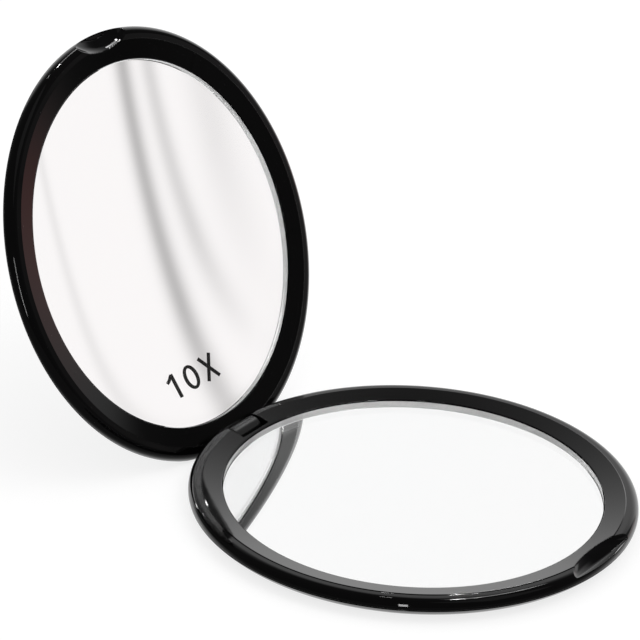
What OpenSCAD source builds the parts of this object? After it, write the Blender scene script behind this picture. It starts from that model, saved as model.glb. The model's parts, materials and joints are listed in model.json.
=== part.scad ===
// Round compact mirror, two equal halves on one hinge pin, drawn open.
// The lower half lies on z = 0 with its centre at the origin and its hinge towards +Y.
// Each half is modelled lying on its flat back with its face up. The upper half is then
// turned over on the lower one and swung open about the hinge pin.
// All lengths are in millimetres.

/* [Body] */
// Outer diameter of both halves
body_d = 85; // [76:1:110]
// Height of one half, from its flat back to its rim
half_h = 4.6; // [4.4:0.1:6]
// Gap between the two rims when the mirror is closed
rim_gap = 0.2; // [0.15:0.05:0.5]
// Radius of the rounded edge around the flat back
back_edge_r = 6; // [5:0.5:8]
// Height of the joint line between shell and frame
seam_z = 2.6; // [2.4:0.1:3]
// Thickness of the shell, floor and side wall alike
shell_t = 1; // [0.8:0.05:1.05]

/* [Rim] */
// Width of the rim, from the mirror opening to the outside
rim_w = 6.25; // [5.8:0.05:7.5]
// Width of the sloped inner face of the rim
bevel_w = 3.65; // [2.5:0.05:4]
// Drop of the sloped inner face, from the flat of the rim to the opening
bevel_drop = 0.85; // [0.4:0.05:1]
// Radius of the outer shoulder of the rim
shoulder_r = 1.6; // [0.8:0.1:1.7]

/* [Hinge] */
// Opening angle as photographed
open_angle = 114.5; // [60:0.5:118]
// Opening angle at the stop
stop_angle = 120; // [118:1:122]
// Distance of the hinge axis from the centre of the body, less than its radius by this much
hinge_inset = 2.6; // [2.3:0.1:3]
// Height of the hinge axis above the flat back of the lower half
hinge_z = 2.4; // [2.3:0.05:2.6]
// Diameter of the hinge pin
pin_d = 1.2; // [0.8:0.1:1.4]
// Radial play between the pin and the frame of the lower half
pin_fit = 0.01; // [0.01:0.01:0.03]
// Radial play between the pin and the knuckle
knuckle_fit = 0.05; // [0.03:0.01:0.1]
// Outer diameter of the knuckle
knuckle_d = 4; // [3.4:0.1:4.2]
// Width of the knuckle
knuckle_w = 7; // [5:0.5:10]
// Play at each end of the knuckle
knuckle_play = 0.6; // [0.2:0.1:0.8]
// Gap between the knuckle and the inner end of its slot
slot_gap = 0.55; // [0.3:0.05:0.6]
// Width of the hinge block in the frame of the lower half
base_block_w = 25; // [22:0.5:26]
// Width of the hinge block in the frame of the upper half
lid_block_w = 31; // [29:0.5:34]
// Material left beyond each end of the pin
pin_end = 1.6; // [1:0.1:3]
// Lowest height that the upper half reaches at its stop
stop_clear = 0.15; // [0.1:0.05:0.4]

/* [Mirrors] */
// Thickness of the flat glass
flat_glass_t = 1.65; // [1.2:0.05:1.75]
// Thickness of the curved glass
curved_glass_t = 1.2; // [0.9:0.05:1.3]
// Depth of the hollow of the curved glass
glass_sag = 1.1; // [0.5:0.05:1.15]
// Depth of the glass edge below the edge of its opening
glass_recess = 0.3; // [0.2:0.05:0.4]
// Radial gap between the glass and its opening
glass_fit = 0.15; // [0.1:0.05:0.3]
// Thickness of the adhesive ring behind each glass
tape_t = 0.15; // [0.1:0.01:0.25]
// Width of the ledge that carries the glass
ledge_w = 2.75; // [2:0.05:4]
// Gap between the adhesive ring and the edges of the ledge
tape_margin = 0.25; // [0.1:0.05:0.4]

/* [Catch] */
// Width of the thumb scoop along the rim
scoop_w = 18.5; // [14:0.5:22]
// Depth of the thumb scoop into the rim, seen from above
scoop_in = 2.8; // [2:0.1:3.2]
// Depth of the thumb scoop below the rim
scoop_down = 1.8; // [1:0.1:1.8]
// Diameter of the catch magnets and of the steel discs facing them
magnet_d = 3.4; // [2.5:0.1:3.5]
// Thickness of the catch magnets and of the steel discs
magnet_t = 1.4; // [0.8:0.1:1.4]
// Gap around and above each magnet
magnet_fit = 0.1; // [0.05:0.05:0.15]
// Depth of the top of each magnet below the edge of the mirror opening
magnet_cover = 0.6; // [0.5:0.05:0.8]
// Angle of each magnet from the middle of the thumb scoop
magnet_angle = 18; // [15:1:30]

/* [Hidden] */
$fn = 96;

// Assembly gap between shell and frame
part_fit = 0.1;
// Overrun of every cut
cut = 1;
// Steps of the arcs in an outline
arc_steps = 12;
glass_steps = 18;
magnet_sides = [-1, 1];

body_r = body_d / 2;
opening_r = body_r - rim_w;
crease_r = opening_r + bevel_w;
opening_z = half_h - bevel_drop;
back_r = body_r - sqrt(pow(back_edge_r, 2) - pow(back_edge_r - seam_z, 2));
cavity_edge_r = back_edge_r - shell_t;
skirt_edge_r = cavity_edge_r - part_fit;
frame_z = seam_z + part_fit;

hinge_y = body_r - hinge_inset;
nose_r = half_h - hinge_z;
turned_z = 2 * half_h + rim_gap;
pin_r = pin_d / 2;
knuckle_r = knuckle_d / 2;
slot_w = knuckle_w + 2 * knuckle_play;
slot_y = hinge_y - knuckle_r - slot_gap;
block_y = slot_y;
web_back = knuckle_r * 0.8;
web_front = knuckle_r * 0.45;
pin_x0 = pin_end - base_block_w / 2;
pin_x1 = base_block_w / 2 - part_fit;

glass_r = opening_r - glass_fit;
ledge_r = opening_r - ledge_w;
glass_top_z = opening_z - glass_recess;
flat_back_z = glass_top_z - flat_glass_t;
base_ledge_z = flat_back_z - tape_t;
glass_curve_r = (pow(glass_r, 2) + pow(glass_sag, 2)) / (2 * glass_sag);
tape_in_r = ledge_r + tape_margin;
tape_out_r = glass_r - tape_margin;
lid_ledge_z = curved_back(tape_in_r) - tape_t;

magnet_r = opening_r + magnet_d / 2 + magnet_cover;
magnet_z = opening_z - magnet_cover - magnet_t;
scoop_rise = body_r - sqrt(pow(body_r, 2) - pow(scoop_w / 2, 2));
scoop_arc_r = (pow(scoop_w / 2, 2) + pow(scoop_in - scoop_rise, 2)) / (2 * (scoop_in - scoop_rise));

// Height of the front and of the back of the curved glass at a given radius
function curved_front(r) = glass_top_z - glass_sag + glass_curve_r
    - sqrt(pow(glass_curve_r, 2) - pow(r, 2));
function curved_back(r) = glass_top_z - glass_sag + glass_curve_r
    - sqrt(pow(glass_curve_r + curved_glass_t, 2) - pow(r, 2));

// Points of an arc in an outline, from one angle to another
function arc(centre, r, from, to) = [for (i = [0 : arc_steps])
    let (a = from + (to - from) * i / arc_steps)
    [centre[0] + r * cos(a), centre[1] + r * sin(a)]];
function reversed(points) = [for (i = [len(points) - 1 : -1 : 0]) points[i]];

// Rounded edge around the flat back, or an arc inside it, from one height to another
function edge_angle(r, z) = -asin((back_edge_r - z) / r);
function edge_arc(r, z0, z1) = arc([back_r, back_edge_r], r, edge_angle(r, z0), edge_angle(r, z1));

// Outside of the rim, from the side of the frame to the flat of the rim
function shoulder() = arc([body_r - shoulder_r, half_h - shoulder_r], shoulder_r, 0, 90);

// Dished shell of even thickness, as a solid of revolution
module shell_ring() {
    rotate_extrude()
        polygon(concat([[0, 0]], edge_arc(back_edge_r, 0, seam_z),
            reversed(edge_arc(cavity_edge_r, shell_t, seam_z)), [[0, shell_t]]));
}

// Frame ring with its sloped face, its ledge for the glass and its skirt inside the shell
module frame_ring(ledge_z) {
    rotate_extrude()
        polygon(concat([[ledge_r, shell_t], [back_r, shell_t]],
            edge_arc(skirt_edge_r, back_edge_r - skirt_edge_r, frame_z),
            [[body_r, frame_z]], shoulder(),
            [[crease_r, half_h], [opening_r, opening_z], [opening_r, ledge_z], [ledge_r, ledge_z]]));
}

// Whole outer form of one half above the shell floor, outside the glass
module half_form() {
    rotate_extrude()
        polygon(concat([[opening_r, shell_t]], edge_arc(back_edge_r, shell_t, seam_z), shoulder(),
            [[crease_r, half_h], [opening_r, opening_z]]));
}

// Space that the hinge block of a frame takes up
module block_space(width, gap) {
    translate([-width / 2 - gap, block_y - gap, shell_t])
        cube([width + 2 * gap, body_r, half_h + cut]);
}

module frame_block(width) {
    intersection() {
        half_form();
        block_space(width, 0);
    }
}

// Thumb scoop, a shallow sloped bite out of the rim opposite the hinge
module scoop() {
    depth = scoop_down + cut;
    translate([0, -body_r + scoop_in - scoop_arc_r, half_h - scoop_down])
        cylinder(r1 = scoop_arc_r - scoop_down, r2 = scoop_arc_r + cut, h = depth, $fn = 180);
}

// Discs of the catch, one at each side of the thumb scoop
module catch_discs(r, z, thickness) {
    for (side = magnet_sides)
        rotate([0, 0, -90 + side * magnet_angle])
            translate([magnet_r, 0, z])
                cylinder(r = r, h = thickness, $fn = 48);
}

module catch_pockets() {
    catch_discs(magnet_d / 2 + magnet_fit, shell_t - cut, magnet_z + magnet_t + magnet_fit - shell_t + cut);
}

// Cylinder along the hinge axis
module on_axis(x0, x1, r) {
    translate([x0, hinge_y, hinge_z])
        rotate([0, 90, 0])
            cylinder(r = r, h = x1 - x0, $fn = 64);
}

// Rounds the hinge edge of the lower half about the pin
module nose_cut() {
    difference() {
        translate([-body_r, hinge_y, hinge_z])
            cube([body_d, body_r, half_h]);
        on_axis(-body_d, body_d, nose_r);
    }
    translate([-body_r, hinge_y + nose_r, -cut])
        cube([body_d, body_r, half_h + 2 * cut]);
}

// Slot that the knuckle turns in, open above, behind and below
module slot_cut() {
    translate([-slot_w / 2, slot_y, -cut])
        cube([slot_w, body_r, half_h + 2 * cut]);
}

// Turns a half over onto the lower one, closed
module closed() {
    translate([0, 0, turned_z])
        mirror([0, 0, 1])
            children();
}

// Swings what is closed open about the pin by an angle
module swung(angle) {
    translate([0, hinge_y, hinge_z])
        rotate([-angle, 0, 0])
            translate([0, -hinge_y, -hinge_z])
                children();
}

// Everything below the lowest height allowed at the stop, seen from the closed upper half
module stop_cut() {
    swung(-stop_angle)
        translate([-body_d, -body_d, stop_clear - body_d])
            cube([2 * body_d, 2 * body_d, body_d]);
}

module opened() {
    swung(open_angle)
        children();
}

module base_shell() {
    color("#17171a")
        difference() {
            shell_ring();
            block_space(base_block_w, part_fit);
            slot_cut();
        }
}

module base_frame() {
    color("#1c1c20")
        difference() {
            union() {
                frame_ring(base_ledge_z);
                frame_block(base_block_w);
            }
            nose_cut();
            slot_cut();
            scoop();
            catch_pockets();
            on_axis(pin_x0, body_r, pin_r + pin_fit);
        }
}

module base_mirror_tape() {
    color("#d9d6cc")
        rotate_extrude()
            polygon([[tape_in_r, base_ledge_z], [tape_out_r, base_ledge_z],
                     [tape_out_r, flat_back_z], [tape_in_r, flat_back_z]]);
}

module base_mirror() {
    color("#e6ebee")
        translate([0, 0, flat_back_z])
            cylinder(r = glass_r, h = flat_glass_t, $fn = 180);
}

module catch_magnets() {
    color("#b9bcc0")
        catch_discs(magnet_d / 2, magnet_z, magnet_t);
}

module hinge_pin() {
    color("#a9adb2")
        on_axis(pin_x0, pin_x1, pin_r);
}

module lid_shell() {
    color("#17171a")
        opened()
            difference() {
                closed()
                    difference() {
                        shell_ring();
                        block_space(lid_block_w, part_fit);
                    }
                stop_cut();
            }
}

module lid_frame() {
    color("#1c1c20")
        opened()
            difference() {
                union() {
                    difference() {
                        closed()
                            difference() {
                                union() {
                                    frame_ring(lid_ledge_z);
                                    frame_block(lid_block_w);
                                }
                                scoop();
                                catch_pockets();
                            }
                        stop_cut();
                    }
                    on_axis(-knuckle_w / 2, knuckle_w / 2, knuckle_r);
                    translate([-knuckle_w / 2, hinge_y - web_back, hinge_z])
                        cube([knuckle_w, web_back + web_front, nose_r + rim_gap + shell_t]);
                }
                on_axis(-body_r, body_r, pin_r + knuckle_fit);
            }
}

module lid_mirror_tape() {
    color("#d9d6cc")
        opened()
            closed()
                rotate_extrude()
                    polygon([[tape_in_r, lid_ledge_z], [tape_out_r, lid_ledge_z],
                             [tape_out_r, curved_back(tape_out_r)],
                             [tape_in_r, curved_back(tape_in_r)]]);
}

module lid_mirror() {
    color("#e6ebee")
        opened()
            closed()
                rotate_extrude($fn = 180)
                    polygon(concat(
                        [for (i = [0 : glass_steps]) let (r = glass_r * i / glass_steps)
                            [r, curved_back(r)]],
                        [for (i = [glass_steps : -1 : 0]) let (r = glass_r * i / glass_steps)
                            [r, curved_front(r)]]));
}

module catch_keepers() {
    color("#b9bcc0")
        opened()
            closed()
                catch_discs(magnet_d / 2, magnet_z, magnet_t);
}

base_shell();
base_frame();
base_mirror_tape();
base_mirror();
catch_magnets();
hinge_pin();
lid_shell();
lid_frame();
lid_mirror_tape();
lid_mirror();
catch_keepers();
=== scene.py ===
# A round folding pocket mirror, open on a pale table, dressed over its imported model.
import json
import math

import bmesh
import bpy
from mathutils import Matrix, Vector


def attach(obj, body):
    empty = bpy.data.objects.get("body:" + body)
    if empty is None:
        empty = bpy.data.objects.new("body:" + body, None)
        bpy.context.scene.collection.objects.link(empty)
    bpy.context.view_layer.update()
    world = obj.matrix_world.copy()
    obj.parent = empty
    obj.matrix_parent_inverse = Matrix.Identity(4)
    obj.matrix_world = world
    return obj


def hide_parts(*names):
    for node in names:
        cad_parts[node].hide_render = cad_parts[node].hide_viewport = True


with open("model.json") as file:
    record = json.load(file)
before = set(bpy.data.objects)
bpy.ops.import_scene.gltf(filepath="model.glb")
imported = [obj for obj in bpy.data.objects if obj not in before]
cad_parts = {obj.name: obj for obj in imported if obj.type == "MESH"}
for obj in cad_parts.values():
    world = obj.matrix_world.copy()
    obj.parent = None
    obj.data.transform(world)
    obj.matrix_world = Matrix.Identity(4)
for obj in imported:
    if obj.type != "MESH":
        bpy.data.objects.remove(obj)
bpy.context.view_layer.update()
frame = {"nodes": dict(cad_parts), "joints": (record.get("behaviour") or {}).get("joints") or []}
nodes = frame["nodes"]

# Gloss black plastic
# Both shells and both frames are moulded in one polished black plastic. Handling leaves a
# thin veil of dust and grease on it, and its skin is never quite flat.
MM = 0.001
dust_per_m = 2600.0
grease_per_m = 70.0
rubs_per_m = (180.0, 1500.0, 900.0)
dents_per_m = 420.0
rub_depth_share = 0.15
dust_height_share = 0.5
plastic_black = (0.0014, 0.0013, 0.0014, 1.0)
lint_grey = (0.04, 0.04, 0.04, 1.0)
worn_edge = 0.12 * MM
least_shine = 0.04
full_shine_glance = 0.63
shine_rise = 10.0


def place(tree, kind, inputs=None, **settings):
    """Adds a node. inputs maps a socket's name or number to a value or to another socket."""
    made = tree.nodes.new(kind)
    for name, value in settings.items():
        setattr(made, name, value)
    for key, value in (inputs or {}).items():
        if isinstance(value, bpy.types.NodeSocket):
            tree.links.new(value, made.inputs[key])
        else:
            made.inputs[key].default_value = value
    return made


def calc(tree, operation, *terms):
    """A Math node's result."""
    return place(tree, "ShaderNodeMath", dict(enumerate(terms)), operation=operation).outputs[0]


def handling_group():
    """Dust, grease and fine rubbing marks, as a roughness to add and a height."""
    tree = bpy.data.node_groups.new("Handling marks", "ShaderNodeTree")
    sockets = tree.interface
    for name, usual in (("Dust Amount", 0.3), ("Grease Amount", 0.3), ("Mark Size", 1.0)):
        socket = sockets.new_socket(name, in_out="INPUT", socket_type="NodeSocketFloat")
        socket.default_value = usual
    for name in ("Roughness Added", "Dust", "Height"):
        sockets.new_socket(name, in_out="OUTPUT", socket_type="NodeSocketFloat")
    given = place(tree, "NodeGroupInput").outputs
    spot = place(tree, "ShaderNodeTexCoord").outputs["Object"]
    size = given["Mark Size"]

    dust_scale = calc(tree, "DIVIDE", dust_per_m, size)
    dust_noise = place(tree, "ShaderNodeTexNoise", {"Vector": spot, "Scale": dust_scale, "Detail": 2.0})
    dust = place(tree, "ShaderNodeMapRange", {
        "Value": dust_noise.outputs["Fac"], "From Min": 0.72, "From Max": 0.80}).outputs["Result"]
    dust = calc(tree, "MULTIPLY", dust, given["Dust Amount"])

    grease_scale = calc(tree, "DIVIDE", grease_per_m, size)
    grease_noise = place(tree, "ShaderNodeTexNoise", {
        "Vector": spot, "Scale": grease_scale, "Detail": 5.0, "Roughness": 0.6})
    grease = place(tree, "ShaderNodeMapRange", {
        "Value": grease_noise.outputs["Fac"], "From Min": 0.48, "From Max": 0.75}).outputs["Result"]
    grease = calc(tree, "MULTIPLY", grease, given["Grease Amount"])

    drawn_out = place(tree, "ShaderNodeVectorMath", {0: spot, 1: rubs_per_m}, operation="MULTIPLY")
    rubbing = place(tree, "ShaderNodeTexNoise", {
        "Vector": drawn_out.outputs[0], "Scale": 1.0, "Detail": 3.0}).outputs["Fac"]
    skin = place(tree, "ShaderNodeTexNoise", {
        "Vector": spot, "Scale": dents_per_m, "Detail": 1.0}).outputs["Fac"]

    leaving = place(tree, "NodeGroupOutput")
    tree.links.new(calc(tree, "ADD", dust, grease), leaving.inputs["Roughness Added"])
    tree.links.new(dust, leaving.inputs["Dust"])
    height = calc(tree, "ADD", calc(tree, "MULTIPLY", rubbing, rub_depth_share), skin)
    height = calc(tree, "ADD", height, calc(tree, "MULTIPLY", dust, dust_height_share))
    tree.links.new(height, leaving.inputs["Height"])
    return tree


handling_marks = handling_group()


def started(name):
    """A new material, its tree and its Principled shader."""
    material = bpy.data.materials.new(name)
    material.use_nodes = True
    return material, material.node_tree, material.node_tree.nodes["Principled BSDF"]


def marked(tree, shader, roughness, dust, grease, size, bump_m, base=None, dusted=None, edge_m=0.0):
    """Gives a shader the handling marks and, where asked, a colour under dust and softened edges."""
    marks = place(tree, "ShaderNodeGroup", node_tree=handling_marks)
    marks.inputs["Dust Amount"].default_value = dust
    marks.inputs["Grease Amount"].default_value = grease
    marks.inputs["Mark Size"].default_value = size
    rough = calc(tree, "ADD", marks.outputs["Roughness Added"], roughness)
    tree.links.new(rough, shader.inputs["Roughness"])
    bump = place(tree, "ShaderNodeBump", {
        "Height": marks.outputs["Height"], "Distance": bump_m, "Strength": 1.0})
    tree.links.new(bump.outputs["Normal"], shader.inputs["Normal"])
    if edge_m:
        edges = place(tree, "ShaderNodeBevel", {"Radius": edge_m}, samples=4)
        tree.links.new(edges.outputs["Normal"], bump.inputs["Normal"])
    if base:
        colour = place(tree, "ShaderNodeMix", {
            "Factor": marks.outputs["Dust"], "A": base, "B": dusted}, data_type="RGBA")
        tree.links.new(colour.outputs["Result"], shader.inputs["Base Color"])


def black_plastic_material():
    """Polished plastic, deep black face on and bright at a glance."""
    material, tree, shader = started("Gloss black plastic")
    marked(tree, shader, roughness=0.03, dust=0.10, grease=0.035, size=1.0, bump_m=0.0012 * MM,
           base=plastic_black, dusted=lint_grey, edge_m=worn_edge)
    shader.inputs["IOR"].default_value = 1.5
    glance = place(tree, "ShaderNodeLayerWeight", {"Blend": 0.5}).outputs["Facing"]
    past = calc(tree, "MULTIPLY", calc(tree, "SUBTRACT", glance, full_shine_glance), shine_rise)
    shine = place(tree, "ShaderNodeClamp", {
        "Value": calc(tree, "EXPONENT", past), "Min": least_shine, "Max": 1.0})
    tree.links.new(shine.outputs["Result"], shader.inputs["Specular IOR Level"])
    return material


black_plastic = black_plastic_material()

# Lower shell
# A dished cover moulded in black plastic, turned about the middle of the mirror. It lies on its
# flat back, and the lower frame drops into it and is welded along the joint line.
body_r = 42.5 * MM
half_h = 4.6 * MM
edge_r = 6.0 * MM
seam_z = 2.6 * MM
shell_t = 1.0 * MM
seam_gap = 0.1 * MM
seam_round = 0.12 * MM
back_r = body_r - math.sqrt(edge_r ** 2 - (edge_r - seam_z) ** 2)
hinge = Vector(frame["joints"][0]["pos_m"])
nose_r = half_h - hinge.z
knuckle_r = 2.0 * MM
knuckle_half = 3.5 * MM
knuckle_gap = 0.1 * MM
block_y = hinge.y - 2.55 * MM
base_block_half = 12.5 * MM
round_step = math.radians(7)
sharp_angle = math.radians(32)
weld_gap = 0.002 * MM
sliver = 0.0005 * MM
far = 60.0 * MM


def arc(centre, radius, start, end):
    """Points of an arc in a section, from one angle to another."""
    steps = max(2, math.ceil(abs(end - start) / round_step))
    angles = [start + (end - start) * i / steps for i in range(steps + 1)]
    return [(centre[0] + radius * math.cos(a), centre[1] + radius * math.sin(a)) for a in angles]


def edge_arc(radius, low, high):
    """The rounded edge of a shell, or an arc inside it, from one height to another."""
    lower = -math.asin((edge_r - low) / radius)
    upper = -math.asin((edge_r - high) / radius)
    return arc((back_r, edge_r), radius, lower, upper)


def rounded(corners):
    """A closed section with its corners (r, z, round) rounded off."""
    points = []
    for i, (x, z, radius) in enumerate(corners):
        here = Vector((x, z))
        before = Vector(corners[i - 1][:2]) - here
        after = Vector(corners[(i + 1) % len(corners)][:2]) - here
        before.normalize()
        after.normalize()
        if radius == 0:
            points.append((x, z))
            continue
        half = before.angle(after) / 2
        centre = here + (before + after).normalized() * radius / math.sin(half)
        start = here + before * radius / math.tan(half) - centre
        end = here + after * radius / math.tan(half) - centre
        turn = math.atan2(start.x * end.y - start.y * end.x, start.dot(end))
        first = math.atan2(start.y, start.x)
        points += arc(centre, radius, first, first + turn)
    return points


def turning_tree():
    """Turns a section about Z and presses in the thumb scoop."""
    tree = bpy.data.node_groups.new("Turned part", "GeometryNodeTree")
    sockets = tree.interface
    sockets.new_socket("Section", in_out="INPUT", socket_type="NodeSocketGeometry")
    for name in ("Section Points", "Steps"):
        sockets.new_socket(name, in_out="INPUT", socket_type="NodeSocketInt")
    for name in ("Start Angle", "Fine Sweep", "Coarse Sweep", "Fine Share", "Scoop Centre", "Scoop Radius",
                 "Rim Height", "Wall Slope", "Floor Height", "Floor Slope", "Brow Radius", "Brow Height",
                 "Brow Slope", "Foot Round", "Lip Round"):
        sockets.new_socket(name, in_out="INPUT", socket_type="NodeSocketFloat")
    sockets.new_socket("Material", in_out="INPUT", socket_type="NodeSocketMaterial")
    sockets.new_socket("Geometry", in_out="OUTPUT", socket_type="NodeSocketGeometry")
    given = place(tree, "NodeGroupInput").outputs

    columns = calc(tree, "ADD", given["Steps"], 1)
    grid = place(tree, "GeometryNodeMeshGrid", {
        "Size X": 1.0, "Size Y": 1.0, "Vertices X": columns, "Vertices Y": given["Section Points"]})
    position = place(tree, "GeometryNodeInputPosition").outputs[0]
    on_grid = place(tree, "ShaderNodeSeparateXYZ", {0: position}).outputs
    along = calc(tree, "ADD", on_grid["X"], 0.5)
    row = calc(tree, "MULTIPLY", calc(tree, "ADD", on_grid["Y"], 0.5),
               calc(tree, "SUBTRACT", given["Section Points"], 1))
    sample = place(tree, "GeometryNodeSampleIndex", {
        "Geometry": given["Section"], "Value": position, "Index": calc(tree, "ROUND", row)},
        data_type="FLOAT_VECTOR")
    point = place(tree, "ShaderNodeSeparateXYZ", {0: sample.outputs[0]}).outputs

    fine = place(tree, "ShaderNodeMapRange", {
        "Value": along, "From Max": given["Fine Share"], "To Max": given["Fine Sweep"]})
    coarse = place(tree, "ShaderNodeMapRange", {
        "Value": along, "From Min": given["Fine Share"], "To Max": given["Coarse Sweep"]})
    turn = calc(tree, "ADD", fine.outputs["Result"], coarse.outputs["Result"])
    angle = calc(tree, "ADD", turn, given["Start Angle"])
    x = calc(tree, "MULTIPLY", point["X"], calc(tree, "COSINE", angle))
    y = calc(tree, "MULTIPLY", point["X"], calc(tree, "SINE", angle))

    from_centre = calc(tree, "ADD", y, given["Scoop Centre"])
    reach = calc(tree, "SQRT", calc(tree, "ADD", calc(tree, "POWER", x, 2.0),
                                    calc(tree, "POWER", from_centre, 2.0)))
    inside = calc(tree, "SUBTRACT", given["Scoop Radius"], reach)
    short = calc(tree, "SUBTRACT", given["Brow Radius"], point["X"])

    def falling(top, way, slope):
        """A height that falls from its top by a slope over a way."""
        return calc(tree, "SUBTRACT", given[top], calc(tree, "MULTIPLY", way, given[slope]))

    wall = falling("Rim Height", inside, "Wall Slope")
    floor = falling("Floor Height", inside, "Floor Slope")
    brow = falling("Brow Height", short, "Brow Slope")
    dish = calc(tree, "SMOOTH_MAX", wall, floor, given["Foot Round"])
    dish = calc(tree, "SMOOTH_MAX", dish, brow, given["Foot Round"])
    z = calc(tree, "SMOOTH_MIN", point["Z"], dish, given["Lip Round"])

    placed = place(tree, "ShaderNodeCombineXYZ", {"X": x, "Y": y, "Z": z}).outputs[0]
    turned_grid = place(tree, "GeometryNodeSetPosition", {
        "Geometry": grid.outputs["Mesh"], "Position": placed}).outputs[0]
    merged = place(tree, "GeometryNodeMergeByDistance", {
        "Geometry": turned_grid, "Distance": weld_gap}).outputs[0]
    smooth = place(tree, "GeometryNodeSetShadeSmooth", {"Geometry": merged}).outputs[0]
    real = place(tree, "GeometryNodeRealizeInstances", {"Geometry": smooth}).outputs[0]
    coloured = place(tree, "GeometryNodeSetMaterial", {
        "Geometry": real, "Material": given["Material"]}).outputs[0]
    tree.links.new(coloured, place(tree, "NodeGroupOutput").inputs[0])
    return tree


turning = turning_tree()


def tidied(mesh):
    """Closes doubles, turns the faces outwards and marks the sharp edges."""
    work = bmesh.new()
    work.from_mesh(mesh)
    bmesh.ops.remove_doubles(work, verts=work.verts, dist=weld_gap)
    bmesh.ops.dissolve_degenerate(work, dist=sliver, edges=work.edges)
    bmesh.ops.recalc_face_normals(work, faces=work.faces)
    for face in work.faces:
        face.smooth = True
    work.to_mesh(mesh)
    work.free()
    mesh.set_sharp_from_angle(angle=sharp_angle)


def turned(name, section, material, steps=512, **values):
    """A piece made by turning (r, z) points about the Z axis. values set other inputs by name."""
    line = section if section[0][0] == 0 else section + section[:1]
    mesh = bpy.data.meshes.new(name)
    mesh.from_pydata([(r, 0.0, z) for r, z in line], [], [])
    piece = bpy.data.objects.new(name, mesh)
    bpy.context.scene.collection.objects.link(piece)
    modifier = piece.modifiers.new("Turning", "NODES")
    modifier.node_group = turning
    settings = {
        "Section Points": len(line), "Steps": steps, "Start Angle": 0.0,
        "Fine Sweep": 2 * math.pi, "Coarse Sweep": 0.0, "Fine Share": 1.0,
        "Scoop Centre": 1.0, "Scoop Radius": 0.0, "Rim Height": 1.0, "Wall Slope": 1.0, "Floor Height": 1.0,
        "Floor Slope": 0.0, "Brow Radius": 0.0, "Brow Height": 1.0, "Brow Slope": 0.0, "Foot Round": 0.0,
        "Lip Round": 0.0, "Material": material,
    }
    settings.update({key.replace("_", " ").title(): value for key, value in values.items()})
    for item in turning.interface.items_tree:
        if item.in_out == "INPUT" and item.name in settings:
            modifier[item.identifier] = settings[item.name]
    bpy.context.view_layer.update()
    shown = piece.evaluated_get(bpy.context.evaluated_depsgraph_get())
    result = bpy.data.meshes.new_from_object(shown)
    piece.modifiers.remove(modifier)
    result.materials.clear()
    result.materials.append(material)
    result.polygons.foreach_set("material_index", [0] * len(result.polygons))
    piece.data = result
    result.name = name
    bpy.data.meshes.remove(mesh)
    tidied(result)
    return piece


def cut_by(piece, cutter):
    """Takes one closed mesh out of another."""
    boolean = piece.modifiers.new("Cut", "BOOLEAN")
    boolean.operation = "DIFFERENCE"
    boolean.solver = "EXACT"
    boolean.object = cutter
    bpy.context.view_layer.update()
    shown = piece.evaluated_get(bpy.context.evaluated_depsgraph_get())
    result = bpy.data.meshes.new_from_object(shown)
    piece.modifiers.remove(boolean)
    old = piece.data
    piece.data = result
    bpy.data.meshes.remove(old)
    bpy.data.objects.remove(cutter)
    tidied(result)


def bar(name, outline, half_width, edge_round=0.0):
    """A bar along X with a (y, z) outline, its ends rounded where asked."""
    work = bmesh.new()
    ends = [[work.verts.new((x, y, z)) for y, z in outline] for x in (-half_width, half_width)]
    work.faces.new(ends[0])
    work.faces.new(ends[1][::-1])
    for i in range(len(outline)):
        j = (i + 1) % len(outline)
        work.faces.new((ends[0][i], ends[0][j], ends[1][j], ends[1][i]))
    if edge_round:
        end_edges = [edge for edge in work.edges if edge.verts[0].co.x == edge.verts[1].co.x]
        bmesh.ops.bevel(work, geom=end_edges, offset=edge_round, segments=3, profile=0.5,
                        affect="EDGES", clamp_overlap=True)
    mesh = bpy.data.meshes.new(name)
    work.to_mesh(mesh)
    work.free()
    mesh.materials.append(black_plastic)
    piece = bpy.data.objects.new(name, mesh)
    bpy.context.scene.collection.objects.link(piece)
    tidied(mesh)
    return piece


def space_beyond(y, z, half_width):
    """A block of space behind y and above z, to cut with."""
    return bar("Space", [(y, z), (far, z), (far, far), (y, far)], half_width)


def trimmed(piece, point, outward):
    """Cuts off what lies beyond a plane and closes the cut."""
    work = bmesh.new()
    work.from_mesh(piece.data)
    everything = work.verts[:] + work.edges[:] + work.faces[:]
    cut = bmesh.ops.bisect_plane(work, geom=everything, plane_co=point, plane_no=outward,
                                 clear_outer=True, dist=sliver)
    rim = [item for item in cut["geom_cut"] if isinstance(item, bmesh.types.BMEdge)]
    bmesh.ops.triangle_fill(work, use_beauty=True, use_dissolve=False, edges=rim)
    work.to_mesh(piece.data)
    work.free()
    tidied(piece.data)


def shell_section():
    """A shell from the middle of its back, out round its edge to the lip, and back inside."""
    outside = [(0.0, 0.0)] + edge_arc(edge_r, 0.0, seam_z - seam_round)
    lip = [(body_r - seam_round, seam_z)]
    inside = edge_arc(edge_r - shell_t, shell_t, seam_z)[::-1] + [(0.0, shell_t)]
    return outside + lip + inside


base_shell = turned("Lower_shell", shell_section(), black_plastic)
cut_by(base_shell, space_beyond(block_y - seam_gap, shell_t, base_block_half + seam_gap))
cut_by(base_shell, space_beyond(hinge.y - knuckle_r - knuckle_gap, -far, knuckle_half + knuckle_gap))
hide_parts("base_shell")
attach(base_shell, "base")

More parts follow.
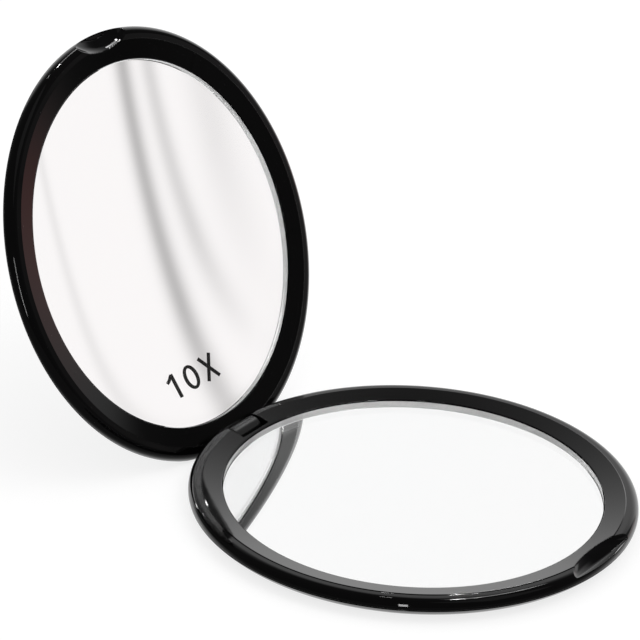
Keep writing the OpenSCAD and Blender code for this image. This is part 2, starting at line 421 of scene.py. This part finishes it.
# Lower frame
# A moulded black ring with a ledge for the mirror and two ears bored for the pin. Its inner
# face slopes down from a fine step, and a dished thumb scoop is pressed into its front.
opening_r = 36.1 * MM
crease_r = 39.9 * MM
opening_z = 3.75 * MM
ledge_r = 33.5 * MM
base_ledge_z = 1.65 * MM
slot_half = 4.1 * MM
slot_y = hinge.y - 3.2 * MM
pin_r = 0.6 * MM
pin_fit = 0.01 * MM
pin_end = 1.6 * MM
pin_clear = 0.05 * MM
pin_low_x = pin_end - base_block_half
pin_high_x = base_block_half - seam_gap
shoulder_r = 1.6 * MM
opening_round = 0.16 * MM
frame_z = seam_z + seam_gap
skirt_edge_r = edge_r - shell_t - seam_gap
base_step = 0.12 * MM
step_share = 4 / 3
base_scoop = (21.5 * MM, 4.5 * MM, 0.70 * MM)
scoop_wall = 0.9 * MM
scoop_foot_round = 0.4 * MM
scoop_lip_round = 0.08 * MM
wall_slope = 1.05
floor_slope = 0.5
brow_slope = 0.60
scoop_sweep = math.radians(34)
scoop_steps_share = 0.36
ring_steps = 720
section_step = 0.16 * MM
block_overrun = math.radians(6)
block_steps = 96


def frame_section(ledge_z, step_h):
    """A frame's section. A fine step down, step_h, runs round the top of its inner slope."""
    skirt = edge_arc(skirt_edge_r, edge_r - skirt_edge_r, frame_z)
    under = [(ledge_r, shell_t), (back_r, shell_t)] + skirt
    face = rounded([
        (body_r, frame_z, seam_round),
        (body_r, half_h - step_h, shoulder_r),
        (crease_r + step_h * step_share, half_h - step_h, 0),
        (crease_r, half_h, 0),
        (opening_r, opening_z, opening_round),
        (opening_r, ledge_z, 0),
        (ledge_r, ledge_z, 0),
        (ledge_r, shell_t, 0),
        (skirt[-1][0], frame_z, 0),
    ])
    visible = face[:-2]
    result = []
    for here, after in zip(visible, visible[1:]):
        start, end = Vector(here), Vector(after)
        seen = min(start.y, end.y) > seam_z and max(start.x, end.x) > opening_r + section_step
        steps = max(1, math.ceil((end - start).length / section_step)) if seen else 1
        result += [tuple(start.lerp(end, k / steps)) for k in range(steps)]
    return result + [visible[-1]] + under


def frame_ring(name, ledge_z, step_h, scoop):
    """A frame's ring. scoop is the scoop's width, its reach inwards and how deep its edge lies."""
    scoop_w, scoop_in, brow_down = scoop
    rise = body_r - math.sqrt(body_r ** 2 - (scoop_w / 2) ** 2)
    scoop_r = ((scoop_w / 2) ** 2 + (scoop_in - rise) ** 2) / (2 * (scoop_in - rise))
    return turned(
        name, frame_section(ledge_z, step_h), black_plastic, ring_steps,
        start_angle=-math.pi / 2 - scoop_sweep / 2, fine_sweep=scoop_sweep,
        coarse_sweep=2 * math.pi - scoop_sweep, fine_share=scoop_steps_share,
        scoop_centre=body_r - scoop_in + scoop_r, scoop_radius=scoop_r,
        rim_height=half_h, wall_slope=wall_slope,
        floor_height=half_h - scoop_wall * (1 - floor_slope / wall_slope), floor_slope=floor_slope,
        brow_radius=body_r, brow_height=half_h - brow_down, brow_slope=brow_slope,
        foot_round=scoop_foot_round, lip_round=scoop_lip_round)


def block_section():
    """What a frame's side has to fill, at the hinge, where its shell is cut away."""
    skirt = edge_arc(skirt_edge_r, edge_r - skirt_edge_r, frame_z)
    outside = edge_arc(edge_r, shell_t + seam_gap, seam_z)
    return outside + [(body_r, frame_z)] + [p for p in skirt[::-1] if p[1] > shell_t + seam_gap]


def hinge_block(name, half_width):
    """The stretch of a frame that reaches down through the shell's side at the hinge."""
    sweep = 2 * math.asin(half_width / body_r) + block_overrun
    block = turned(name, block_section(), black_plastic, block_steps,
                   start_angle=math.pi / 2 - sweep / 2, fine_sweep=sweep)
    trimmed(block, (half_width, 0, 0), (1, 0, 0))
    trimmed(block, (-half_width, 0, 0), (-1, 0, 0))
    return block


def joined(name, first, *others):
    """One piece made of several meshes."""
    work = bmesh.new()
    for piece in (first,) + others:
        work.from_mesh(piece.data)
    work.to_mesh(first.data)
    work.free()
    for piece in others:
        bpy.data.objects.remove(piece)
    first.name = name
    first.data.set_sharp_from_angle(angle=sharp_angle)
    return first


def space_past_nose():
    """The space behind the edge that is rounded about the pin, to cut with."""
    nose = arc((hinge.y, hinge.z), nose_r, math.pi / 2, 0)
    outer = [(hinge.y + nose_r, -far), (far, -far), (far, far)]
    return bar("Space", [(hinge.y, far)] + nose + outer, far)


def pin_space(fit):
    """The pin's bore with a fit all round, a little longer than the pin, to cut with."""
    outline = arc((hinge.y, hinge.z), pin_r + fit, 0, 2 * math.pi)[:-1]
    space = bar("Space", outline, (pin_high_x - pin_low_x) / 2 + pin_clear)
    space.data.transform(Matrix.Translation(((pin_high_x + pin_low_x) / 2, 0, 0)))
    return space


base_ring = frame_ring("Lower_frame", base_ledge_z, base_step, base_scoop)
base_block = hinge_block("Lower_block", base_block_half)
for part in (base_ring, base_block):
    cut_by(part, space_past_nose())
    cut_by(part, space_beyond(slot_y, -far, slot_half))
    cut_by(part, pin_space(pin_fit))
base_frame = joined("Lower_frame", base_ring, base_block)
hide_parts("base_frame")
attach(base_frame, "base")

# Upper shell
# The same dished cover, turned over and swung open about the pin. Its hinge edge is cut off
# along a plane, so that it clears the table when the mirror is fully open.
open_angle = math.radians(-frame["joints"][0]["range_deg"][0])
stop_angle = math.radians(frame["joints"][0]["range_deg"][1]) + open_angle
rim_gap = 0.2 * MM
stop_clear = 0.15 * MM
lid_block_half = 15.5 * MM
turned_over = Matrix.Translation((0, 0, 2 * half_h + rim_gap)) @ Matrix.Rotation(math.pi, 4, "Y")


def swung(angle):
    """Turns the closed upper half open about the pin."""
    return Matrix.Translation(hinge) @ Matrix.Rotation(-angle, 4, "X") @ Matrix.Translation(-hinge)


def opened(piece):
    """Turns a half over onto the lower one, trims its hinge edge and swings it open."""
    piece.data.transform(swung(stop_angle) @ turned_over)
    if piece.data.vertices and min(v.co.z for v in piece.data.vertices) < stop_clear:
        trimmed(piece, (0, 0, stop_clear), (0, 0, -1))
    piece.data.transform(swung(open_angle) @ swung(stop_angle).inverted())
    return piece


lid_shell = turned("Upper_shell", shell_section(), black_plastic)
cut_by(lid_shell, space_beyond(block_y - seam_gap, shell_t, lid_block_half + seam_gap))
opened(lid_shell)
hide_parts("lid_shell")
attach(lid_shell, "lid")

# Upper frame
# The same moulded ring for the upper half, with a lower ledge for the hollow mirror. Its
# satin knuckle turns on the pin between the two ears of the lower frame.
knuckle_round = 0.35 * MM
knuckle_fit = 0.05 * MM
knuckle_steps = 48
web_back = 1.6 * MM
web_front = 0.9 * MM
web_sunk = 0.6 * MM
lid_ledge_z = 1.96 * MM
lid_step = 0.03 * MM
lid_scoop = (16.5 * MM, 3.8 * MM, 1.82 * MM)
satin_black = (0.004, 0.004, 0.004, 1.0)


def satin_plastic_material():
    """The same plastic from a part of the mould that isn't polished."""
    material, tree, shader = started("Satin black plastic")
    marked(tree, shader, roughness=0.24, dust=0.10, grease=0.05, size=1.0, bump_m=0.004 * MM,
           base=satin_black, dusted=lint_grey, edge_m=worn_edge)
    shader.inputs["Specular IOR Level"].default_value = 0.35
    return material


satin_plastic = satin_plastic_material()


def knuckle():
    """A barrel about the pin with a web up to the frame, drawn closed and extruded along X."""
    left = math.asin(web_back / knuckle_r)
    right = math.asin(web_front / knuckle_r)
    start = math.pi / 2 + left
    sweep = 2 * math.pi - left - right
    turns = [start + sweep * i / knuckle_steps for i in range(knuckle_steps + 1)]
    outline = [(knuckle_r * math.cos(turn), knuckle_r * math.sin(turn)) for turn in turns]
    top = nose_r + rim_gap + web_sunk
    outline += [(web_front, top), (-web_back, top)]
    outline = [(hinge.y + y, hinge.z + z) for y, z in outline]
    piece = bar("Knuckle", outline, knuckle_half, knuckle_round)
    cut_by(piece, pin_space(knuckle_fit))
    piece.data.transform(swung(open_angle))
    piece.data.materials.append(satin_plastic)
    piece.data.polygons.foreach_set("material_index", [1] * len(piece.data.polygons))
    return piece


lid_ring = opened(frame_ring("Upper_frame", lid_ledge_z, lid_step, lid_scoop))
lid_block = opened(hinge_block("Upper_block", lid_block_half))
lid_ring.data.materials.append(satin_plastic)
lid_frame = joined("Upper_frame", lid_ring, lid_block, knuckle())
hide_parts("lid_frame")
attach(lid_frame, "lid")

# Flat mirror
# A disc of float glass, silvered on its back, with a ground edge. It lies on its adhesive
# ring just under the edge of the opening, and its ground edge shows pale through the glass.
glass_r = 36.05 * MM
glass_top_z = 3.6 * MM
flat_glass_t = 1.79 * MM
ground_bevel = 0.12 * MM
edge_share = 0.6
upright_normal = 0.2
backward_normal = -0.5
glass_steps = 360
flat_rings = 12
glass_clear = (0.995, 0.995, 0.995, 1.0)
glass_sheen = (0.1, 0.1, 0.1, 1.0)
silver_cool = (0.955, 0.96, 0.96, 1.0)
silver_plain = (0.965, 0.965, 0.965, 1.0)
ground_dark = (0.62, 0.62, 0.615, 1.0)
ground_pale = (0.78, 0.78, 0.775, 1.0)


def clear_glass_material():
    """Float glass. Its own sheen is kept low, because the silver behind it outshines it."""
    material, tree, shader = started("Clear glass")
    shader.inputs["Base Color"].default_value = glass_clear
    shader.inputs["IOR"].default_value = 1.52
    shader.inputs["Specular Tint"].default_value = glass_sheen
    shader.inputs["Transmission Weight"].default_value = 1.0
    marks = place(tree, "ShaderNodeGroup", {
        "Dust Amount": 0.02, "Grease Amount": 0.0, "Mark Size": 1.2}, node_tree=handling_marks)
    tree.links.new(marks.outputs["Roughness Added"], shader.inputs["Roughness"])
    return material


def silvering_material():
    """The silver on the back of a glass, very slightly cloudy."""
    material, tree, shader = started("Silvering")
    shader.inputs["Metallic"].default_value = 1.0
    spot = place(tree, "ShaderNodeTexCoord").outputs["Object"]
    cloud = place(tree, "ShaderNodeTexNoise", {"Vector": spot, "Scale": 30.0, "Detail": 2.0})
    colour = place(tree, "ShaderNodeMix", {
        "Factor": cloud.outputs["Fac"], "A": silver_cool, "B": silver_plain}, data_type="RGBA")
    tree.links.new(colour.outputs["Result"], shader.inputs["Base Color"])
    shader.inputs["Roughness"].default_value = 0.0
    return material


def ground_edge_material():
    """The ground rim of a glass, pale with the silver behind it."""
    material, tree, shader = started("Ground glass edge")
    spot = place(tree, "ShaderNodeTexCoord").outputs["Object"]
    noise = place(tree, "ShaderNodeTexNoise", {"Vector": spot, "Scale": 900.0, "Detail": 3.0})
    grain = noise.outputs["Fac"]
    colour = place(tree, "ShaderNodeMix", {
        "Factor": grain, "A": ground_dark, "B": ground_pale}, data_type="RGBA")
    tree.links.new(colour.outputs["Result"], shader.inputs["Base Color"])
    shader.inputs["Metallic"].default_value = 0.8
    shader.inputs["Roughness"].default_value = 0.3
    bump = place(tree, "ShaderNodeBump", {"Height": grain, "Distance": 0.01 * MM})
    tree.links.new(bump.outputs["Normal"], shader.inputs["Normal"])
    return material


clear_glass = clear_glass_material()
silvering = silvering_material()
ground_edge = ground_edge_material()


def mirror_piece(name, section):
    """A turned glass, clear in front, ground round its edge and silvered behind."""
    piece = turned(name, section, clear_glass, glass_steps)
    for material in (ground_edge, silvering):
        piece.data.materials.append(material)
    for face in piece.data.polygons:
        middle = face.center
        at_edge = math.hypot(middle.x, middle.y) > glass_r - ground_bevel * edge_share
        if at_edge and abs(face.normal.z) < upright_normal:
            face.material_index = 1
        elif face.normal.z < backward_normal:
            face.material_index = 2
    return piece


def flat_section():
    """Half of the flat glass, from the middle of its back round its edge to the front."""
    back = glass_top_z - flat_glass_t
    radii = [glass_r * i / flat_rings for i in range(flat_rings)]
    edge = [(glass_r, back), (glass_r, glass_top_z - ground_bevel), (glass_r - ground_bevel, glass_top_z)]
    return [(r, back) for r in radii] + edge + [(r, glass_top_z) for r in radii[::-1]]


base_mirror = mirror_piece("Flat_mirror", flat_section())
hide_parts("base_mirror")
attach(base_mirror, "base")

# Hollow mirror
# A thin glass slumped to a shallow hollow and silvered behind, which magnifies. It lies in
# the upper frame on its own adhesive ring.
curved_glass_t = 1.32 * MM
glass_sag = 1.1 * MM
hollow_rings = 40
glass_curve_r = (glass_r ** 2 + glass_sag ** 2) / (2 * glass_sag)
curve_z = glass_top_z - glass_sag + glass_curve_r


def curved_front(r):
    """The height of the hollow glass's front at a distance from its middle."""
    return curve_z - math.sqrt(glass_curve_r ** 2 - r ** 2)


def curved_back(r):
    """The height of its silvered back."""
    return curve_z - math.sqrt((glass_curve_r + curved_glass_t) ** 2 - r ** 2)


def hollow_section():
    """Half of the hollow glass, in the same order."""
    radii = [glass_r * i / hollow_rings for i in range(hollow_rings)]
    edge = [(glass_r, curved_back(glass_r)), (glass_r, glass_top_z - ground_bevel),
            (glass_r - ground_bevel, curved_front(glass_r - ground_bevel))]
    return [(r, curved_back(r)) for r in radii] + edge + [(r, curved_front(r)) for r in radii[::-1]]


lid_mirror = opened(mirror_piece("Hollow_mirror", hollow_section()))
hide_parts("lid_mirror")
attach(lid_mirror, "lid")

# Strength mark
# A plain number and a times sign in black, near the hinge. It is printed on the back of the
# hollow glass before that is silvered, so it shows no double in the mirror.
mark_foot = Vector((-8.51 * MM, 28.93 * MM))
mark_h = 5.1 * MM
mark_lean = 0.18
pen_w = 1.0 * MM
pen_h = 0.66 * MM
ink_t = 0.02 * MM
ink_lift_share = 0.2
zero_steps = 48
ink_black = (0.002, 0.002, 0.002, 1.0)
ink_grey = (0.01, 0.01, 0.01, 1.0)


def ink_material():
    """Screen printing ink, seen through the glass."""
    material, tree, shader = started("Printing ink")
    marked(tree, shader, roughness=0.35, dust=0.2, grease=0.1, size=0.5, bump_m=0.002 * MM,
           base=ink_black, dusted=ink_grey)
    shader.inputs["Specular IOR Level"].default_value = 0.1
    return material


def strokes():
    """Centre lines of the mark in mm from the foot of its first stroke, and whether each closes."""
    top = mark_h / MM
    flag = [(-2.0, 3.75), (-1.1, 4.15), (0, 4.98)]
    zero_x, zero_w, zero_h = 4.9, 1.60, top / 2 - pen_h / 2 / MM
    times_x, times_w = 10.53, 1.76
    turns = [2 * math.pi * i / zero_steps for i in range(zero_steps + 1)]
    zero = [(zero_x + zero_w * math.cos(a), top / 2 + zero_h * math.sin(a)) for a in turns]
    return [
        ([(0, 0), (0, top)], False),
        (flag, False),
        (zero, True),
        ([(times_x - times_w, 0), (times_x + times_w, top)], False),
        ([(times_x - times_w, top), (times_x + times_w, 0)], False),
    ]


def mark_line(work, line, closed):
    """One stroke, a flat bar that follows the back of the glass."""
    line = [Vector(p) * MM for p in line]
    fine = []
    for here, after in zip(line, line[1:]):
        steps = max(1, math.ceil((after - here).length / pen_h))
        fine += [here.lerp(after, k / steps) for k in range(steps)]
    fine.append(line[-1])
    rings = []
    for i, here in enumerate(fine):
        before = fine[i - 1] if i else (fine[-2] if closed else here)
        after = fine[i + 1] if i + 1 < len(fine) else (fine[1] if closed else here)
        side = (after - before).normalized().orthogonal()
        side = Vector((side.x * pen_w / 2, side.y * pen_h / 2))
        ring = []
        for edge, proud in ((side, ink_lift_share), (-side, ink_lift_share), (-side, 1), (side, 1)):
            u, v = here + edge
            x, y = mark_foot.x + u - mark_lean * v, mark_foot.y - v
            z = 2 * half_h + rim_gap - curved_back(math.hypot(x, y)) - proud * ink_t
            ring.append(work.verts.new((x, y, z)))
        rings.append(ring)
    for first, second in zip(rings, rings[1:]):
        for k in range(4):
            m = (k + 1) % 4
            work.faces.new((first[k], first[m], second[m], second[k]))
    if not closed:
        work.faces.new(rings[0])
        work.faces.new(rings[-1][::-1])


def strength_mark():
    """The mark's strokes as one mesh, drawn closed and swung open with the glass."""
    work = bmesh.new()
    for line, closed in strokes():
        mark_line(work, line, closed)
    mesh = bpy.data.meshes.new("Strength_mark")
    work.to_mesh(mesh)
    work.free()
    mesh.transform(swung(open_angle))
    mesh.materials.append(ink_material())
    tidied(mesh)
    piece = bpy.data.objects.new("Strength_mark", mesh)
    bpy.context.scene.collection.objects.link(piece)
    return piece


mark = strength_mark()
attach(mark, "lid")

# Hinge pin, magnets and steel discs
# Bright plated steel. The pin is pressed into the ears of the lower frame, and the discs of
# the catch are glued into pockets at both sides of the thumb scoops.
steel_bright = (0.60, 0.61, 0.63, 1.0)
steel_dulled = (0.35, 0.34, 0.33, 1.0)


def plated_material():
    """Bright plating with a little tarnish."""
    material, tree, shader = started("Plated steel")
    shader.inputs["Metallic"].default_value = 1.0
    marked(tree, shader, roughness=0.22, dust=0.2, grease=0.2, size=0.3, bump_m=0.002 * MM,
           base=steel_bright, dusted=steel_dulled)
    return material


def dress(node, material):
    """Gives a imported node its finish."""
    nodes[node].data.materials.clear()
    nodes[node].data.materials.append(material)


plated_steel = plated_material()
for metal_node in ("hinge_pin", "catch_magnets", "catch_keepers"):
    dress(metal_node, plated_steel)

# Adhesive rings
# Double-sided tape, die cut to a ring. One lies on the ledge of each frame and holds the
# back of the glass.
tape_dark = (0.70, 0.68, 0.62, 1.0)
tape_pale = (0.86, 0.84, 0.79, 1.0)


def tape_material():
    """Cream-coloured film with a fine fibre in it."""
    material, tree, shader = started("Adhesive tape")
    spot = place(tree, "ShaderNodeTexCoord").outputs["Object"]
    noise = place(tree, "ShaderNodeTexNoise", {"Vector": spot, "Scale": 1200.0, "Detail": 4.0})
    fibre = noise.outputs["Fac"]
    colour = place(tree, "ShaderNodeMix", {
        "Factor": fibre, "A": tape_dark, "B": tape_pale}, data_type="RGBA")
    tree.links.new(colour.outputs["Result"], shader.inputs["Base Color"])
    shader.inputs["Roughness"].default_value = 0.7
    bump = place(tree, "ShaderNodeBump", {"Height": fibre, "Distance": 0.02 * MM})
    tree.links.new(bump.outputs["Normal"], shader.inputs["Normal"])
    return material


adhesive = tape_material()
for tape_node in ("base_mirror_tape", "lid_mirror_tape"):
    dress(tape_node, adhesive)

# Table and light
# A pale round table top under one large soft lamp. Small lamps show only as highlights. The
# surround is white behind the mirror, and dim but for white screens in what it reflects.
table_r = 500 * MM
table_drop = 0.02 * MM
table_segments = 96
board_grey = (0.3, 0.3, 0.3, 1.0)
board_glow = 0.76
white = (1.0, 1.0, 1.0, 1.0)
warm_white = (1.0, 0.5, 0.48, 1.0)
surround_light = 0.8
dim = 0.2
lit_point = Vector((0, 20 * MM, 30 * MM))

# A half bright wall on the camera's side, and how much a direction has to point to it.
wall_light = 0.5
wall_side = (-0.745, -0.503, 0.436)
wall_start, wall_full = -0.25, 0.05

# Screens in degrees: from side to side, from bottom to top, and how softly they end. The
# warm one gets its colour below a height.
warm_from, warm_to = 7.0, -5.0
warm_share = 0.05
side_screen = (-3, 78), (-90, 50), (7, 10)
front_screen = (-49, -36), (3.5, 13), (1.5, 1.5)
warm_screen = (-24, -14), (-90, 8), (14, 5)

# Upright shades on the front screen: middle, bend, level, width, depth and share that fades.
fade_from, fade_to = 8.8, 10.2
upright_shades = (
    (-43.0, 0.2, 8.1, 0.33, 0.46, 0.45),
    (-44.0, 0.24, 7.95, 0.30, 0.26, 0.9),
    (-45.75, 0.2, 8.7, 0.7, 0.14, 0.8),
    (-39.75, 0.35, 6.6, 0.16, 0.12, 0.0),
)


def seen_directly(tree):
    """1 for what the camera looks at, and 1 for that and what a reflection or refraction shows."""
    path = place(tree, "ShaderNodeLightPath").outputs
    mirrored = calc(tree, "MAXIMUM", path["Is Glossy Ray"], path["Is Transmission Ray"])
    return path["Is Camera Ray"], calc(tree, "MAXIMUM", path["Is Camera Ray"], mirrored)


def table_material():
    """A board that takes shadows, and glows where it is seen, so that it looks white."""
    material = bpy.data.materials.new("Pale table")
    material.use_nodes = True
    tree = material.node_tree
    tree.nodes.clear()
    by_any = seen_directly(tree)[1]
    board = place(tree, "ShaderNodeBsdfDiffuse", {"Color": board_grey})
    strength = calc(tree, "MULTIPLY", by_any, board_glow)
    glow = place(tree, "ShaderNodeEmission", {"Color": white, "Strength": strength})
    both = place(tree, "ShaderNodeAddShader", {0: board.outputs[0], 1: glow.outputs[0]})
    tree.links.new(both.outputs[0], place(tree, "ShaderNodeOutputMaterial").inputs["Surface"])
    return material


def table():
    """The round table top, a hair under the mirror's back."""
    mesh = bpy.data.meshes.new("Table_top")
    work = bmesh.new()
    bmesh.ops.create_circle(work, cap_ends=True, segments=table_segments, radius=table_r)
    bmesh.ops.translate(work, verts=work.verts, vec=(0, 0, -table_drop))
    work.to_mesh(mesh)
    work.free()
    mesh.materials.append(table_material())
    top = bpy.data.objects.new("Table_top", mesh)
    bpy.context.scene.collection.objects.link(top)


def streak(tree, azimuth, elevation, middle, bend, level, width, depth, fading):
    """A soft upright shade in the surround, bent about a level and fading above; all in degrees."""
    rise = calc(tree, "SUBTRACT", elevation, level)
    bent = calc(tree, "MULTIPLY", calc(tree, "MULTIPLY", rise, rise), bend)
    off = calc(tree, "DIVIDE", calc(tree, "ADD", calc(tree, "SUBTRACT", azimuth, middle), bent), width)
    bell = calc(tree, "EXPONENT", calc(tree, "MULTIPLY", calc(tree, "MULTIPLY", off, off), -1.0))
    left = place(tree, "ShaderNodeMapRange", {
        "Value": elevation, "From Min": fade_from, "From Max": fade_to,
        "To Min": depth, "To Max": depth * (1 - fading)})
    return calc(tree, "MULTIPLY", bell, left.outputs["Result"])


def screen(tree, azimuth, elevation, sides, heights, softness):
    """A white screen in the surround, 1 inside and 0 outside; all in degrees."""
    inside = 1.0
    for value, (low, high), soft in ((azimuth, sides, softness[0]), (elevation, heights, softness[1])):
        for edge, outer in ((low, low - soft), (high, high + soft)):
            part = place(tree, "ShaderNodeMapRange", {
                "Value": value, "From Min": outer, "From Max": edge}, interpolation_type="SMOOTHSTEP")
            inside = calc(tree, "MULTIPLY", part.outputs["Result"], inside)
    return inside


def surround():
    """The world: white to the camera, dim with white screens in reflections, even as light."""
    world = bpy.data.worlds.new("Studio")
    world.use_nodes = True
    bpy.context.scene.world = world
    tree = world.node_tree
    tree.nodes.clear()
    by_camera, by_any = seen_directly(tree)
    direction = place(tree, "ShaderNodeTexCoord").outputs["Generated"]
    to = place(tree, "ShaderNodeSeparateXYZ", {0: direction}).outputs
    azimuth = calc(tree, "DEGREES", calc(tree, "ARCTAN2", to["Y"], to["X"]))
    elevation = calc(tree, "DEGREES", calc(tree, "ARCSINE", to["Z"]))
    shade = 0.0
    for numbers in upright_shades:
        shade = calc(tree, "ADD", streak(tree, azimuth, elevation, *numbers), shade)
    side = screen(tree, azimuth, elevation, *side_screen)
    front = screen(tree, azimuth, elevation, *front_screen)
    warm = screen(tree, azimuth, elevation, *warm_screen)
    screens = calc(tree, "MAXIMUM", calc(tree, "MAXIMUM", side, front), warm)
    facing = place(tree, "ShaderNodeVectorMath", {0: direction, 1: wall_side}, operation="DOT_PRODUCT")
    wall = place(tree, "ShaderNodeMapRange", {
        "Value": facing.outputs["Value"], "From Min": wall_start, "From Max": wall_full,
        "To Max": wall_light}, interpolation_type="SMOOTHSTEP")
    screens = calc(tree, "MAXIMUM", screens, wall.outputs["Result"])
    below = place(tree, "ShaderNodeMapRange", {
        "Value": elevation, "From Min": warm_from, "From Max": warm_to})
    warmth = calc(tree, "MULTIPLY", below.outputs["Result"], warm)
    warmth = calc(tree, "MAXIMUM", warmth, calc(tree, "MULTIPLY", front, warm_share))
    warmth = calc(tree, "MULTIPLY", warmth, calc(tree, "SUBTRACT", 1.0, by_camera))
    colour = place(tree, "ShaderNodeMix", {
        "Factor": warmth, "A": white, "B": warm_white}, data_type="RGBA")
    bright = calc(tree, "MULTIPLY_ADD", screens, 1.0 - dim, dim)
    bright = calc(tree, "MULTIPLY", bright, calc(tree, "SUBTRACT", 1.0, shade))
    bright = calc(tree, "MAXIMUM", bright, by_camera)
    light = place(tree, "ShaderNodeBackground", {"Color": white, "Strength": surround_light})
    seen = place(tree, "ShaderNodeBackground", {
        "Color": colour.outputs["Result"], "Strength": bright})
    mixed = place(tree, "ShaderNodeMixShader", {0: by_any, 1: light.outputs[0], 2: seen.outputs[0]})
    tree.links.new(mixed.outputs[0], place(tree, "ShaderNodeOutputWorld").inputs["Surface"])


def lamp(name, side, rise, width, height, power, distance=1.25, soft=False):
    """A lamp that faces the mirror from a side and a height in degrees. Only a soft one lights it."""
    light = bpy.data.lights.new(name, "AREA")
    light.shape = "RECTANGLE"
    light.size = width
    light.size_y = height
    light.energy = power
    holder = bpy.data.objects.new(name, light)
    turn, lift = math.radians(side), math.radians(rise)
    out = Vector((math.cos(turn) * math.cos(lift), math.sin(turn) * math.cos(lift), math.sin(lift)))
    holder.location = lit_point + out * distance
    holder.rotation_euler = out.to_track_quat("Z", "Y").to_euler()
    holder.visible_diffuse = soft
    holder.visible_transmission = soft
    bpy.context.scene.collection.objects.link(holder)


table()
surround()
lamp("Soft lamp", side=-80, rise=60, width=0.9, height=0.9, power=4.0, distance=1.6, soft=True)
lamp("Ceiling lamp", side=10, rise=67, width=0.04, height=0.05, power=7.0)
lamp("Small ceiling lamp", side=2, rise=66, width=0.02, height=0.03, power=1.0)
lamp("Far ceiling lamp", side=39, rise=71, width=0.04, height=0.05, power=0.8)
lamp("High strip lamp", side=12, rise=57, width=0.10, height=0.40, power=5.0)
lamp("Side strip lamp", side=-149, rise=17, width=0.09, height=0.55, power=18.0)

# Camera
# The photograph's view: a long lens from the front left, a little above the table, turned
# slightly about its own axis.
around = math.radians(-56.192)
above = math.radians(25.843)
roll = math.radians(2.557)
distance = 638.6 * MM
aim = Vector((54.85 * MM, 59.64 * MM, 0.0))
film_w = 36.0
focal_pixels = 3000
frame_pixels = 640

level = Vector((math.cos(around), math.sin(around), 0.0))
outward = Vector((math.sin(around), -math.cos(around), 0.0))
back = outward * math.cos(above) + Vector((0.0, 0.0, math.sin(above)))
upright = back.cross(level)
right = level * math.cos(roll) + upright * math.sin(roll)
up = upright * math.cos(roll) - level * math.sin(roll)
camera_data = bpy.data.cameras.new("Camera")
camera_data.sensor_width = film_w
camera_data.lens = focal_pixels * film_w / frame_pixels
camera = bpy.data.objects.new("Camera", camera_data)
facing_mirror = Matrix((right, up, back)).transposed().to_4x4()
camera.matrix_world = Matrix.Translation(aim + back * distance) @ facing_mirror
bpy.context.scene.collection.objects.link(camera)
bpy.context.scene.camera = camera
bpy.context.scene.view_settings.view_transform = "Standard"
